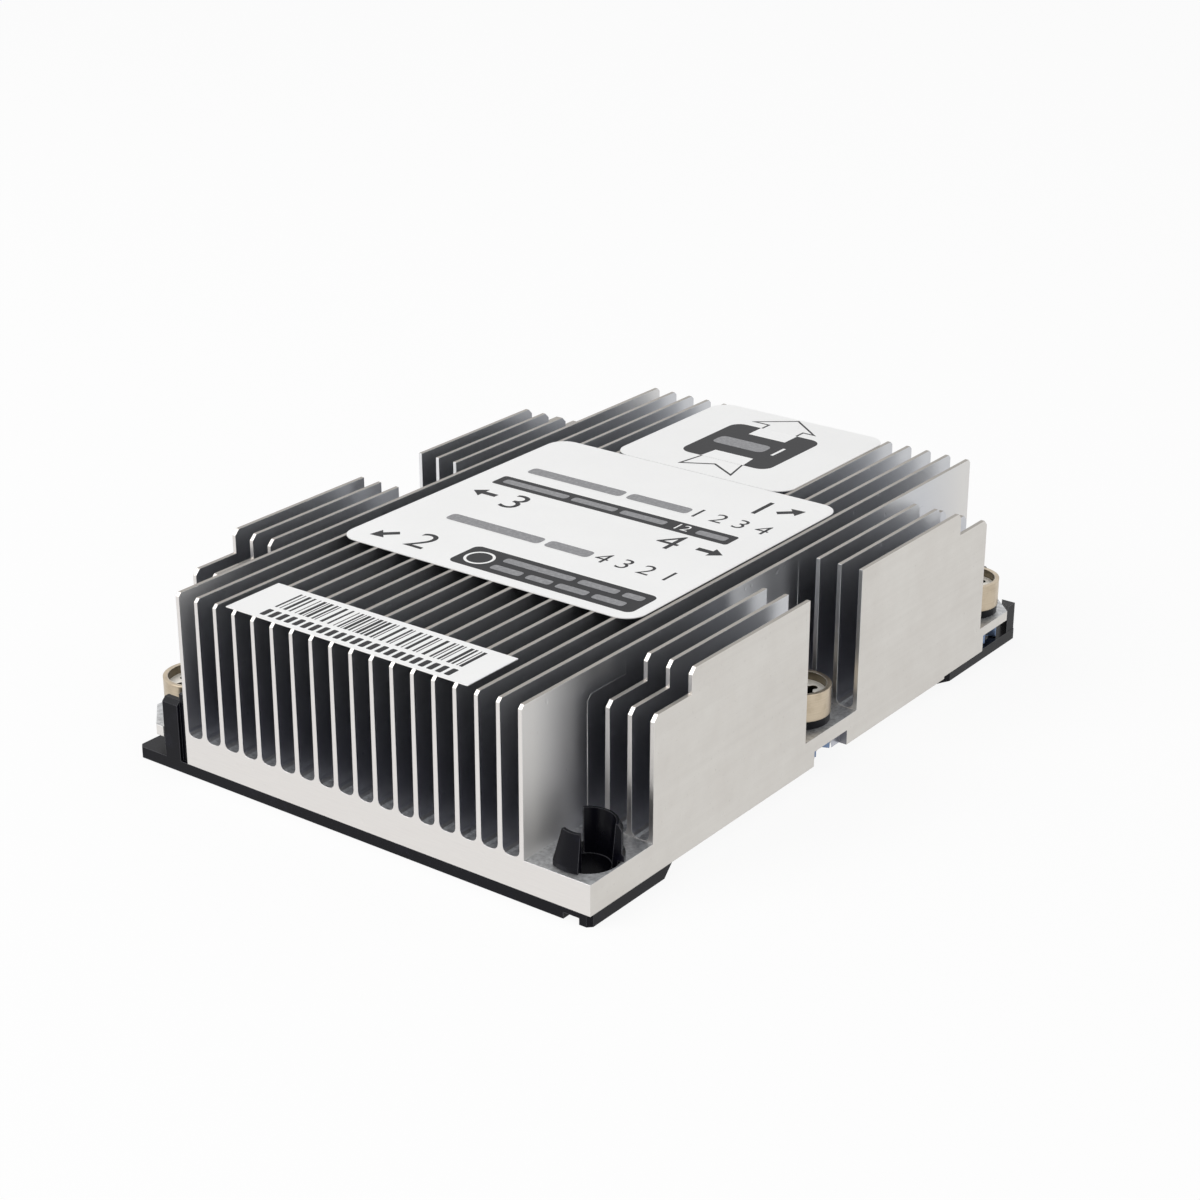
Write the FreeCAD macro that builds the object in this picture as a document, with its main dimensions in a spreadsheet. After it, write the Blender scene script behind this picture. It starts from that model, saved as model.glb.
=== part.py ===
"""Passive heatsink for a large-socket server processor, with its carrier frame.

X runs across the fins, Y runs along them from front to rear, Z is up. The origin is the centre
of the carrier's underside, which the part stands on. Each piece is drawn with its heights measured
from the underside of the aluminium base, and is then stood on the carrier's thickness.
Every size is in millimetres.
"""
import FreeCAD, Part
import math
import os

import Sketcher

SIZES = (
    # The extruded fin body.
    ("width", 78.0),
    ("length", 108.0),
    ("height", 25.0),
    ("fin_count", 24),
    ("fin_tip", 0.56),
    ("fin_root", 0.74),
    ("slot_floor", 4.4),
    ("slot_corner", 0.9),
    ("pocket_floor", 4.3),
    ("corner_pocket", 12.8),
    ("step_reach", 7.9),
    ("step_drop", 3.4),
    ("middle_gap", 13.0),
    ("end_chamfer", 0.5),
    ("step_chamfer", 0.8),
    # The underside of the base, thinned around the nuts.
    ("shelf_level", 2.85),
    ("notch_level", 2.2),
    ("notch_half_width", 4.15),
    ("notch_depth", 1.2),
    ("wing_recess", 0.35),
    ("cutter_radius", 2.0),
    ("corner_clip", 4.5),
    # The four captive nuts.
    ("nut_inset", 5.4),
    ("nut_end_inset", 7.0),
    ("head_radius", 4.45),
    ("head_clearance", 0.2),
    ("head_depth", 4.0),
    ("cup_radius", 3.8),
    ("cup_depth", 1.2),
    ("star_radius", 2.8),
    ("lobe_half_width", 0.6),
    ("lobe_bevel", 0.3),
    ("lobe_count", 6),
    ("star_depth", 2.4),
    ("barrel_radius", 2.85),
    ("barrel_clearance", 0.08),
    ("barrel_reach", 0.4),
    ("thread_radius", 1.65),
    ("thread_depth", 4.6),
    # The washer above the base and the split ring beneath it.
    ("washer_thickness", 1.2),
    ("washer_radius", 4.35),
    ("ring_radius", 4.5),
    ("ring_thickness", 1.9),
    ("ring_clearance", 0.2),
    ("groove_depth", 0.35),
    ("groove_play", 0.05),
    ("ring_gap_half_angle", 22.0),
    ("ring_pocket_clearance", 0.2),
    # The moulded carrier frame.
    ("carrier_thickness", 1.65),
    ("carrier_bevel", 0.6),
    ("side_bar", 10.5),
    ("end_bar", 15.5),
    ("window_corner", 2.5),
    ("rail_clearance", 0.1),
    ("guide_wing", 16.9),
    ("guide_wing_slope", 1.6),
    ("nut_wing", 23.0),
    ("nut_wing_inset", 0.7),
    ("nut_wing_slant", 3.0),
    ("stud_clearance_radius", 3.4),
    ("foot_width", 1.7),
    ("relief_width", 2.4),
    ("relief_height", 0.9),
    ("relief_reach", 3.0),
    ("clip_width", 12.0),
    ("clip_reach", 1.2),
    ("clip_thickness", 0.8),
    # The split collars that snap through the base.
    ("collar_inset", 4.5),
    ("collar_end_inset", 5.4),
    ("collar_hole_radius", 4.2),
    ("collar_clearance", 0.35),
    ("collar_wall", 0.9),
    ("collar_ring_drop", 1.05),
    ("arc_wall", 0.8),
    ("arc_rise", 5.0),
    ("arc_bevel", 0.45),
    ("arc_bevel_drop", 0.9),
    ("barb_reach", 0.45),
    ("barb_land", 0.7),
    ("barb_slope", 0.3),
    ("barb_lift", 0.05),
    ("tall_arc_start", 20.0),
    ("tall_arc_sweep", 115.0),
    ("latch_arc_start", 242.0),
    ("latch_arc_sweep", 51.0),
    ("latch_arc_drop", 0.2),
    ("latch_arc_lean", 0.95),
    # The latch posts and the key post.
    ("post_inset", 6.0),
    ("post_width", 2.8),
    ("post_depth", 1.3),
    ("post_rise", 4.5),
    ("post_chamfer", 0.6),
    ("rib_width", 1.0),
    ("rib_depth", 1.7),
    ("rib_setback", 0.5),
    ("rib_extra", 1.1),
    ("post_clearance", 0.2),
    ("key_inset", 0.05),
    ("key_clearance", 0.9),
    ("key_drop", 0.1),
    # The thermal pad beneath the base and the three labels on the fins.
    ("pad_margin", 3.5),
    ("pad_thickness", 0.2),
    ("label_thickness", 0.12),
    ("label_round", 3.0),
    ("label_shift", 0.5),
    ("label_gap", 0.15),
    ("label_end_inset", 0.5),
    ("steps_label_size", 50.4),
    ("steps_label_forward", 1.0),
    ("airflow_label_across", 30.8),
    ("code_label_across", 40.4),
    ("code_label_along", 9.8),
)

doc = FreeCAD.newDocument("ServerHeatsink")
sheet = doc.addObject("Spreadsheet::Sheet", "Sizes")
for row, (alias, number) in enumerate(SIZES, start=1):
    sheet.set("A%d" % row, alias)
    sheet.set("B%d" % row, str(number))
    sheet.setAlias("B%d" % row, alias)
doc.recompute()


class Size:
    """A number together with the sheet formula that gives it.

    Sketches take the number as a starting place and are then bound to the formula.
    """

    def __init__(self, formula, number):
        self.formula = formula
        self.number = float(number)

    @staticmethod
    def of(other):
        return other if isinstance(other, Size) else Size(repr(float(other)), other)

    def join(self, sign, other, number):
        return Size("(%s %s %s)" % (self.formula, sign, Size.of(other).formula), number)

    def __add__(self, other):
        return self.join("+", other, self.number + Size.of(other).number)

    def __sub__(self, other):
        return self.join("-", other, self.number - Size.of(other).number)

    def __mul__(self, other):
        return self.join("*", other, self.number * Size.of(other).number)

    def __truediv__(self, other):
        return self.join("/", other, self.number / Size.of(other).number)

    def __neg__(self):
        return Size("(0 - %s)" % self.formula, -self.number)


def size(alias):
    """The sheet's value of that name."""
    return Size("Sizes.%s" % alias, sheet.get(alias))


def bite(alias, function="cos"):
    """The cosine or sine of an angle in the sheet, in degrees."""
    angle = math.radians(sheet.get(alias))
    return Size("%s(Sizes.%s)" % (function, alias), getattr(math, function)(angle))


def whole_up(value):
    """The next whole number from a Size up."""
    return Size("ceil(%s)" % value.formula, math.ceil(value.number))


# Places that several pieces share.
half_width = size("width") / 2
half_length = size("length") / 2
pitch = (size("width") - size("fin_tip")) / (size("fin_count") - 1)
# Whole fins are milled away beside the nuts, as many as the nut's head reaches past.
side_fins = whole_up((size("nut_inset") + size("head_radius") + size("head_clearance")) / pitch)
side_reach = pitch * side_fins
nut_x = half_width - size("nut_inset")
nut_y = half_length - size("nut_end_inset")
collar_x = half_width - size("collar_inset")
collar_y = half_length - size("collar_end_inset")
head_floor = size("pocket_floor") + size("washer_thickness")
head_top = head_floor + size("head_depth")
cup_floor = head_top - size("cup_depth")
ring_top = size("notch_level") - size("ring_clearance")
ring_bottom = ring_top - size("ring_thickness")
ring_pocket_radius = size("ring_radius") + size("ring_pocket_clearance")
ring_bore = size("barrel_radius") - size("groove_depth") + size("groove_play")
collar_radius = size("collar_hole_radius") - size("collar_clearance")
collar_bore = collar_radius - size("collar_wall")
collar_ring_top = size("pocket_floor") - size("collar_ring_drop")
post_back = size("rib_setback") + size("rib_depth")
window_x = half_width - size("side_bar")
window_y = half_length - size("end_bar")
rail_x = nut_x - size("stud_clearance_radius") - size("rail_clearance")
origin = Size.of(0)


def bind(thing, prop, value):
    """Set a property from a Size and keep it bound to the sheet."""
    thing.setExpression(prop, value.formula)


def origin_feature(body, role):
    return next(f for f in body.Origin.OriginFeatures if f.Role == role)


def new_body(name, x=origin, y=origin):
    """A piece of the assembly, drawn about its own axis and placed at (x, y) on the carrier."""
    body = doc.addObject("PartDesign::Body", name)
    body.Label = name
    bind(body, ".Placement.Base.x", x)
    bind(body, ".Placement.Base.y", y)
    bind(body, ".Placement.Base.z", size("carrier_thickness"))
    return body


def new_sketch(body, name, plane="XY_Plane", offset=None):
    """A sketch on one of the body's own origin planes, raised along its normal by offset."""
    sketch = body.newObject("Sketcher::SketchObject", name)
    sketch.AttachmentSupport = [(origin_feature(body, plane), "")]
    sketch.MapMode = "FlatFace"
    if offset is not None:
        bind(sketch, ".AttachmentOffset.Base.z", offset)
    return sketch


def pin_point(sketch, geometry, end, x, y):
    """Hold one end of an element at (x, y), measured from the sketch's origin."""
    for kind, value in (("DistanceX", x), ("DistanceY", y)):
        index = sketch.addConstraint(Sketcher.Constraint(kind, -1, 1, geometry, end, value.number))
        bind(sketch, "Constraints[%d]" % index, value)


def arc_through(start, finish, radius, bulge):
    """The short arc of that radius from start to finish; bulge +1 turns it left, -1 right."""
    middle = (start + finish) / 2
    chord = finish - start
    rise = math.sqrt(max(radius ** 2 - (chord.Length / 2) ** 2, 0.0))
    side = FreeCAD.Vector(-chord.y, chord.x, 0).normalize()
    centre = middle + side * rise * bulge
    crown = centre - side * radius * bulge
    return Part.Arc(start, crown, finish)


def draw_outline(sketch, path):
    """Close a loop through the path's (x, y) points.

    A point may carry a third and fourth entry, a radius and a bulge of +1 or -1: the stretch that
    leaves it is then an arc.
    """
    spots = [(Size.of(p[0]), Size.of(p[1])) for p in path]
    places = [FreeCAD.Vector(x.number, y.number, 0) for x, y in spots]
    first = None
    last = None
    for k, point in enumerate(path):
        start = places[k]
        finish = places[(k + 1) % len(places)]
        if len(point) == 2:
            index = sketch.addGeometry(Part.LineSegment(start, finish), False)
            start_end, finish_end = 1, 2
        else:
            radius = point[2]
            arc = arc_through(start, finish, radius.number, point[3])
            index = sketch.addGeometry(arc, False)
            held = sketch.addConstraint(Sketcher.Constraint("Radius", index, radius.number))
            bind(sketch, "Constraints[%d]" % held, radius)
            start_end, finish_end = (1, 2) if point[3] > 0 else (2, 1)
        pin_point(sketch, index, start_end, *spots[k])
        if last is not None:
            sketch.addConstraint(Sketcher.Constraint("Coincident", last[0], last[1], index, start_end))
        if first is None:
            first = (index, start_end)
        last = (index, finish_end)
    sketch.addConstraint(Sketcher.Constraint("Coincident", last[0], last[1], first[0], first[1]))


def draw_rectangle(sketch, left, front, right, rear):
    draw_outline(sketch, ((left, front), (right, front), (right, rear), (left, rear)))


def draw_rounded_rectangle(sketch, left, front, right, rear, radius):
    draw_outline(sketch, (
        (left + radius, front),
        (right - radius, front, radius, 1),
        (right, front + radius),
        (right, rear - radius, radius, 1),
        (right - radius, rear),
        (left + radius, rear, radius, 1),
        (left, rear - radius),
        (left, front + radius, radius, 1),
    ))


def draw_circle(sketch, x, y, radius):
    place = FreeCAD.Vector(x.number, y.number, 0)
    circle = Part.Circle(place, FreeCAD.Vector(0, 0, 1), radius.number)
    index = sketch.addGeometry(circle, False)
    pin_point(sketch, index, 3, x, y)
    held = sketch.addConstraint(Sketcher.Constraint("Radius", index, radius.number))
    bind(sketch, "Constraints[%d]" % held, radius)


def pad(body, sketch, name, depth, reverse=False, both_ways=False):
    feature = body.newObject("PartDesign::Pad", name)
    feature.Profile = sketch
    feature.Reversed = reverse
    if both_ways:
        feature.SideType = "Symmetric"
    bind(feature, "Length", depth)
    return feature


def cut(body, sketch, name, depth=None, reverse=False, both_ways=False):
    """A pocket; with no depth it runs right through. It must take metal away."""
    before = body.Tip
    doc.recompute()
    volume = before.Shape.Volume
    feature = body.newObject("PartDesign::Pocket", name)
    feature.Profile = sketch
    feature.Reversed = reverse
    if both_ways:
        feature.SideType = "Symmetric"
    if depth is None:
        feature.Type = "ThroughAll"
    else:
        bind(feature, "Length", depth)
    doc.recompute()
    if not feature.Shape.Volume < volume:
        raise RuntimeError("%s cuts nothing" % name)
    return feature


def revolve(body, sketch, name, sweep=None):
    """Turn an XZ sketch about its own vertical axis, fully or through a sweep in degrees."""
    feature = body.newObject("PartDesign::Revolution", name)
    feature.Profile = sketch
    feature.ReferenceAxis = (sketch, ["V_Axis"])
    feature.Angle = 360.0
    if sweep is not None:
        bind(feature, "Angle", sweep)
    return feature


def turn_round(body, features, name, count=2):
    """Repeat features about the body's Z axis, evenly over a full turn."""
    pattern = body.newObject("PartDesign::PolarPattern", name)
    pattern.Originals = features
    pattern.Axis = (origin_feature(body, "Z_Axis"), [""])
    pattern.Angle = 360.0
    if isinstance(count, Size):
        bind(pattern, "Occurrences", count)
    else:
        pattern.Occurrences = count
    body.Tip = pattern
    return pattern


def mirror_across(body, features, name):
    """Repeat features on the other side of the body's YZ plane."""
    mirror = body.newObject("PartDesign::Mirrored", name)
    mirror.Originals = features
    mirror.MirrorPlane = (origin_feature(body, "YZ_Plane"), [""])
    body.Tip = mirror
    return mirror


def make_fin_body():
    """Base and fins: one aluminium extrusion, sawn to length and milled."""
    body = new_body("fin_body")
    length = size("length")
    height = size("height")

    section = new_sketch(body, "StockSection", "XZ_Plane")
    draw_rectangle(section, -half_width, origin, half_width, height)
    pad(body, section, "Stock", length, both_ways=True)

    # One slot between two fins, wider at the tips, with a round corner in three facets each side.
    slot_x = (size("fin_tip") + pitch) / 2 - half_width
    top_half = (pitch - size("fin_tip")) / 2
    foot_half = (pitch - size("fin_root")) / 2
    floor = size("slot_floor")
    bend = size("slot_corner")
    third = math.radians(90 / 3)
    near = bend * (1 - math.cos(third))
    far = bend * (1 - math.sin(third))
    slot = new_sketch(body, "SlotSection", "XZ_Plane")
    draw_outline(slot, (
        (slot_x - top_half, height),
        (slot_x - foot_half, floor + bend),
        (slot_x - foot_half + near, floor + far),
        (slot_x - foot_half + far, floor + near),
        (slot_x - foot_half + bend, floor),
        (slot_x + foot_half - bend, floor),
        (slot_x + foot_half - far, floor + near),
        (slot_x + foot_half - near, floor + far),
        (slot_x + foot_half, floor + bend),
        (slot_x + top_half, height),
    ))
    first_slot = cut(body, slot, "FirstSlot", both_ways=True)
    slots = body.newObject("PartDesign::LinearPattern", "Slots")
    slots.Originals = [first_slot]
    slots.Direction = (origin_feature(body, "X_Axis"), [""])
    bind(slots, "Length", pitch * (size("fin_count") - 2))
    bind(slots, "Occurrences", size("fin_count") - 1)
    body.Tip = slots

    # Seen from the side: the corner pockets, the gap at the middle and the low steps.
    side = new_sketch(body, "SideProfile", "YZ_Plane", half_width)
    pocket_end = half_length - size("corner_pocket")
    step_end = pocket_end - size("step_reach")
    low = height - size("step_drop")
    gap = size("middle_gap") / 2
    lip = size("step_chamfer")
    ground = size("pocket_floor")
    for hand in (-1, 1):
        draw_outline(side, (
            (half_length * hand, ground),
            (pocket_end * hand, ground),
            (pocket_end * hand, low - lip),
            ((pocket_end - lip) * hand, low),
            (step_end * hand, low),
            (step_end * hand, height - lip),
            ((step_end - lip) * hand, height),
            (half_length * hand, height),
        ))
    draw_rectangle(side, -gap, ground, gap, height)
    right_side = cut(body, side, "RightSideMilling", side_reach)
    mirror_across(body, [right_side], "SideMilling")

    # The top corners of the full-length fins are bevelled at both ends.
    lip = size("end_chamfer")
    bevel = new_sketch(body, "FinEndBevel", "YZ_Plane")
    for hand in (-1, 1):
        draw_outline(bevel, (
            (half_length * hand, height - lip),
            (half_length * hand, height),
            ((half_length - lip) * hand, height),
        ))
    cut(body, bevel, "FinEnds", both_ways=True)

    # Underside and corners: each is cut once and repeated half a turn round.
    left = -half_width
    front = -half_length
    shelf_right = ring_pocket_radius - nut_x
    shelf_rear = ring_pocket_radius - nut_y
    turn = size("cutter_radius")
    shelf = new_sketch(body, "ShelfOutline")
    draw_outline(shelf, (
        (left, front),
        (shelf_right, front),
        (shelf_right, shelf_rear - turn, turn, 1),
        (shelf_right - turn, shelf_rear),
        (left, shelf_rear),
    ))
    features = [cut(body, shelf, "Shelf", size("shelf_level"), reverse=True)]

    corner = new_sketch(body, "CornerClipOutline")
    draw_outline(corner, (
        (left, front),
        (left + size("corner_clip"), front),
        (left, front + size("corner_clip")),
    ))
    features.append(cut(body, corner, "CornerClip", reverse=True))

    gate = new_sketch(body, "PostNotchOutline")
    draw_rectangle(
        gate,
        left + size("post_inset") - size("post_clearance"),
        front,
        shelf_right,
        front + post_back + size("post_clearance"),
    )
    features.append(cut(body, gate, "PostNotch", reverse=True))

    # The base is eased above the carrier's wing.
    recess = new_sketch(body, "WingRecessOutline")
    draw_rectangle(recess, left, front, shelf_right, front + size("nut_wing"))
    features.append(cut(body, recess, "WingRecess", size("wing_recess"), reverse=True))

    # The middle nut's ring turns in a round pocket that breaks into a notch in the side.
    round_pocket = new_sketch(body, "RingPocketOutline")
    draw_circle(round_pocket, -nut_x, origin, ring_pocket_radius)
    features.append(cut(body, round_pocket, "RingPocket", size("notch_level"), reverse=True))
    notch = new_sketch(body, "SideNotchOutline")
    draw_rectangle(
        notch,
        left,
        -size("notch_half_width"),
        left + size("notch_depth"),
        size("notch_half_width"),
    )
    features.append(cut(body, notch, "SideNotch", size("notch_level"), reverse=True))

    hole_radius = size("barrel_radius") + size("barrel_clearance")
    holes = new_sketch(body, "HoleOutlines")
    draw_circle(holes, -nut_x, -nut_y, hole_radius)
    draw_circle(holes, -nut_x, origin, hole_radius)
    draw_circle(holes, collar_x, -collar_y, size("collar_hole_radius"))
    features.append(cut(body, holes, "Holes", reverse=True))
    turn_round(body, features, "BothEnds")
    return body


def make_carrier():
    """The moulded frame that clips beneath the base and holds the processor."""
    body = new_body("carrier_frame")
    thick = size("carrier_thickness")
    wing = half_width - size("nut_wing_inset")
    slant = size("nut_wing_slant")
    ease = size("carrier_bevel")

    def half_of_edge(hand):
        """The outline from one front corner round to the next; hand -1 gives the other half."""
        return (
            ((ease - wing) * hand, -half_length * hand),
            ((half_width - ease) * hand, -half_length * hand),
            (half_width * hand, (ease - half_length) * hand),
            (half_width * hand, (size("guide_wing") - half_length) * hand),
            (rail_x * hand, (size("guide_wing") - half_length) * hand),
            (rail_x * hand, (half_length - size("nut_wing")) * hand),
            ((wing - slant / 2) * hand, (half_length - size("nut_wing")) * hand),
            (wing * hand, (half_length - size("nut_wing") + slant) * hand),
            (wing * hand, (half_length - ease) * hand),
        )

    outline = new_sketch(body, "PlateOutline")
    draw_outline(outline, half_of_edge(1) + half_of_edge(-1))
    pad(body, outline, "Plate", thick, reverse=True)

    snip = size("window_corner")
    window = new_sketch(body, "WindowOutline")
    draw_outline(window, (
        (snip - window_x, -window_y),
        (window_x - snip, -window_y),
        (window_x, snip - window_y),
        (window_x, window_y - snip),
        (window_x - snip, window_y),
        (snip - window_x, window_y),
        (-window_x, window_y - snip),
        (-window_x, snip - window_y),
    ))
    cut(body, window, "Window")

    # Two ledges that reach into the window, low down, to hold the processor's ends.
    ledge_sketch = new_sketch(body, "ClipOutline", offset=-thick)
    draw_rectangle(
        ledge_sketch,
        -size("clip_width") / 2,
        -window_y,
        size("clip_width") / 2,
        -window_y + size("clip_reach"),
    )
    ledge = pad(body, ledge_sketch, "Clip", size("clip_thickness"))

    # The corner studs come up through holes; the middle ones pass outside the rails.
    studs = new_sketch(body, "StudHoles")
    draw_circle(studs, -nut_x, -nut_y, size("stud_clearance_radius"))
    stud_hole = cut(body, studs, "CornerStudHole")

    # The wing beside each guide collar ends in a slope that undercuts it.
    wing_end = size("guide_wing") - half_length
    slope = new_sketch(body, "WingSlopeProfile", "YZ_Plane", half_width)
    draw_outline(slope, (
        (wing_end, origin),
        (wing_end - size("guide_wing_slope"), -thick),
        (wing_end, -thick),
    ))
    wing_slope = cut(body, slope, "WingSlope", half_width - rail_x)

    foot = half_width - size("foot_width")
    relief = new_sketch(body, "FootReliefOutline", offset=-thick)
    draw_rectangle(
        relief,
        foot - size("relief_width"),
        -half_length,
        foot,
        -half_length + size("relief_reach"),
    )
    foot_relief = cut(body, relief, "FootRelief", size("relief_height"), reverse=True)

    # The latch post: a bevelled plate with a taller stiffening rib at its side.
    post_left = size("post_inset") - half_width
    post_right = post_left + size("post_width")
    post_top = size("pocket_floor") + size("post_rise")
    drop = size("post_chamfer")
    post_side = new_sketch(body, "PostProfile", "YZ_Plane", post_left)
    draw_outline(post_side, (
        (-half_length, -thick),
        (-half_length + size("post_depth"), -thick),
        (-half_length + size("post_depth"), post_top),
        (-half_length + drop, post_top),
        (-half_length, post_top - drop),
    ))
    post = pad(body, post_side, "Post", size("post_width"))
    rib_sketch = new_sketch(body, "RibOutline", offset=-thick)
    draw_rectangle(
        rib_sketch,
        post_right,
        -half_length + size("rib_setback"),
        post_right + size("rib_width"),
        -half_length + post_back,
    )
    rib = pad(body, rib_sketch, "Rib", thick + post_top + size("rib_extra"))

    # The guide collar is a closed ring that carries two arcs, a tall one and a latch that leans in.
    catch = size("pocket_floor") + size("barb_lift")
    land = catch + size("barb_land")
    barb = size("collar_hole_radius") + size("barb_reach")
    tall_top = size("pocket_floor") + size("arc_rise")
    tall_side = barb - size("barb_slope")
    latch_top = tall_top - size("latch_arc_drop")
    latch_side = tall_side - size("latch_arc_lean")

    def turn_about_collar(name, path, start=origin, sweep=None):
        """Revolve a profile about the collar's axis, from a start angle through a sweep."""
        profile = new_sketch(body, name + "Profile", "XZ_Plane")
        draw_outline(profile, path)
        turn = FreeCAD.Rotation(FreeCAD.Vector(0, 1, 0), start.number)
        profile.AttachmentOffset = FreeCAD.Placement(FreeCAD.Vector(), turn)
        bind(profile, ".AttachmentOffset.Base.x", collar_x)
        bind(profile, ".AttachmentOffset.Base.z", collar_y)
        bind(profile, ".AttachmentOffset.Rotation.Angle", start)
        return revolve(body, profile, name, sweep)

    ring = turn_about_collar("CollarRing", (
        (collar_bore, -thick),
        (collar_radius, -thick),
        (collar_radius, collar_ring_top),
        (collar_bore, collar_ring_top),
    ))
    arc_foot = (
        (collar_radius - size("arc_wall"), collar_ring_top),
        (collar_radius, collar_ring_top),
        (collar_radius, catch),
        (barb, catch),
        (barb, land),
    )
    tall_arc = turn_about_collar("TallArc", arc_foot + (
        (tall_side, land + size("barb_slope")),
        (tall_side, tall_top - size("arc_bevel_drop")),
        (tall_side - size("arc_bevel"), tall_top),
        (tall_side - size("arc_wall"), tall_top),
    ), size("tall_arc_start"), size("tall_arc_sweep"))
    latch_arc = turn_about_collar("LatchArc", arc_foot + (
        (latch_side, latch_top),
        (latch_side - size("arc_wall"), latch_top),
    ), size("latch_arc_start"), size("latch_arc_sweep"))

    features = [ledge, stud_hole, wing_slope, foot_relief, post, rib, ring, tall_arc, latch_arc]
    turn_round(body, features, "PlateBothEnds")

    # The collar's bore runs right through the plate.
    bore = new_sketch(body, "CollarBore")
    draw_circle(bore, collar_x, -collar_y, collar_bore)
    turn_round(body, [cut(body, bore, "GuideBore", both_ways=True)], "BoresBothEnds")

    # The three-sided key post stands at one corner only, so the frame fits one way round.
    key = new_sketch(body, "KeyOutline", offset=-thick)
    key_x = wing - size("key_inset")
    key_y = half_length - ease - size("key_inset")
    leg = key_x + key_y - half_width - half_length + size("corner_clip") - size("key_clearance")
    draw_outline(key, (
        (key_x, key_y),
        (key_x - leg, key_y),
        (key_x, key_y - leg),
    ))
    pad(body, key, "KeyPost", thick + size("pocket_floor") - size("key_drop"))
    return body


CORNERS = (
    ("front_left", -nut_x, -nut_y),
    ("rear_right", nut_x, nut_y),
    ("middle_left", -nut_x, origin),
    ("middle_right", nut_x, origin),
)


def make_nut(place, x, y):
    """A turned captive nut: cup head with a six-lobed socket, barrel, ring groove and thread."""
    body = new_body("nut_" + place, x, y)
    barrel = size("barrel_radius")
    foot = -size("barrel_reach")
    groove = barrel - size("groove_depth")
    groove_bottom = ring_bottom - size("groove_play")
    groove_top = ring_top + size("groove_play")
    thread_end = foot + size("thread_depth")
    profile = new_sketch(body, "NutProfile", "XZ_Plane")
    draw_outline(profile, (
        (size("thread_radius"), foot),
        (barrel, foot),
        (barrel, groove_bottom),
        (groove, groove_bottom),
        (groove, groove_top),
        (barrel, groove_top),
        (barrel, head_floor),
        (size("head_radius"), head_floor),
        (size("head_radius"), head_top),
        (size("cup_radius"), head_top),
        (size("cup_radius"), cup_floor),
        (origin, cup_floor),
        (origin, thread_end),
        (size("thread_radius"), thread_end),
    ))
    revolve(body, profile, "Turned")

    # The socket: a polygon with a corner within each lobe, then the blunt-nosed lobes.
    root = new_sketch(body, "SocketRoot", offset=cup_floor)
    reach = size("star_radius") - size("lobe_half_width")
    corners = int(size("lobe_count").number)
    turns = [math.radians(360 * step / corners) for step in range(corners)]
    draw_outline(root, [(reach * math.cos(turn), reach * math.sin(turn)) for turn in turns])
    cut(body, root, "Socket", size("star_depth"))
    lobe = new_sketch(body, "SocketLobe", offset=cup_floor)
    nose = size("star_radius")
    wide = size("lobe_half_width")
    narrow = wide - size("lobe_bevel")
    draw_outline(lobe, (
        (origin, -wide),
        (nose - size("lobe_bevel"), -wide),
        (nose, -narrow),
        (nose, narrow),
        (nose - size("lobe_bevel"), wide),
        (origin, wide),
    ))
    lobe_cut = cut(body, lobe, "Lobe", size("star_depth"))
    turn_round(body, [lobe_cut], "Lobes", size("lobe_count"))
    return body


def make_washer(place, x, y):
    """The black spacer that the head sits on."""
    body = new_body("washer_" + place, x, y)
    outline = new_sketch(body, "WasherOutline", offset=size("pocket_floor"))
    draw_circle(outline, origin, origin, size("washer_radius"))
    draw_circle(outline, origin, origin, size("barrel_radius") + size("barrel_clearance"))
    pad(body, outline, "Washer", size("washer_thickness"))
    return body


def make_ring(place, x, y):
    """The split ring in the barrel's groove, which keeps the nut captive."""
    body = new_body("retaining_ring_" + place, x, y)
    outline = new_sketch(body, "RingOutline", offset=ring_bottom)
    draw_circle(outline, origin, origin, size("ring_radius"))
    draw_circle(outline, origin, origin, ring_bore)
    pad(body, outline, "Ring", size("ring_thickness"))
    mouth = new_sketch(body, "RingMouth", offset=ring_bottom)
    reach = size("ring_radius") * 2
    draw_outline(mouth, (
        (origin, origin),
        (bite("ring_gap_half_angle") * reach, -bite("ring_gap_half_angle", "sin") * reach),
        (bite("ring_gap_half_angle") * reach, bite("ring_gap_half_angle", "sin") * reach),
    ))
    cut(body, mouth, "Mouth", reverse=True)
    return body


def make_sheet(name, left, front, right, rear, bottom, thickness, radius=None):
    """A flat sheet; with a radius its corners are rounded."""
    body = new_body(name)
    outline = new_sketch(body, "Outline", offset=bottom)
    if radius is None:
        draw_rectangle(outline, left, front, right, rear)
    else:
        draw_rounded_rectangle(outline, left, front, right, rear, radius)
    pad(body, outline, "Sheet", thickness)
    return body


def make_labels():
    """Three paper labels laid across the fin tips; the rear one reaches from the large one to the end."""
    top = size("height")
    thin = size("label_thickness")
    bend = size("label_round")
    middle = -size("label_shift")
    half_steps = size("steps_label_size") / 2
    steps_front = -half_steps - size("steps_label_forward")
    steps_rear = half_steps - size("steps_label_forward")
    steps = make_sheet(
        "label_tightening_steps",
        middle - half_steps, steps_front, middle + half_steps, steps_rear,
        top, thin, bend,
    )
    half_airflow = size("airflow_label_across") / 2
    airflow_front = steps_rear + size("label_gap")
    airflow_rear = half_length - size("label_end_inset")
    airflow = make_sheet(
        "label_airflow",
        middle - half_airflow, airflow_front, middle + half_airflow, airflow_rear,
        top, thin, bend,
    )
    half_code = size("code_label_across") / 2
    code_front = size("label_end_inset") - half_length
    code_rear = code_front + size("code_label_along")
    code = make_sheet("label_code", -half_code, code_front, half_code, code_rear, top, thin)
    return [steps, airflow, code]


def make_thermal_pad():
    """The pad beneath the base, inside the carrier's window."""
    pad_x = window_x - size("pad_margin")
    pad_y = window_y - size("pad_margin")
    thick = size("pad_thickness")
    return make_sheet("thermal_pad", -pad_x, -pad_y, pad_x, pad_y, -thick, thick)


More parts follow.
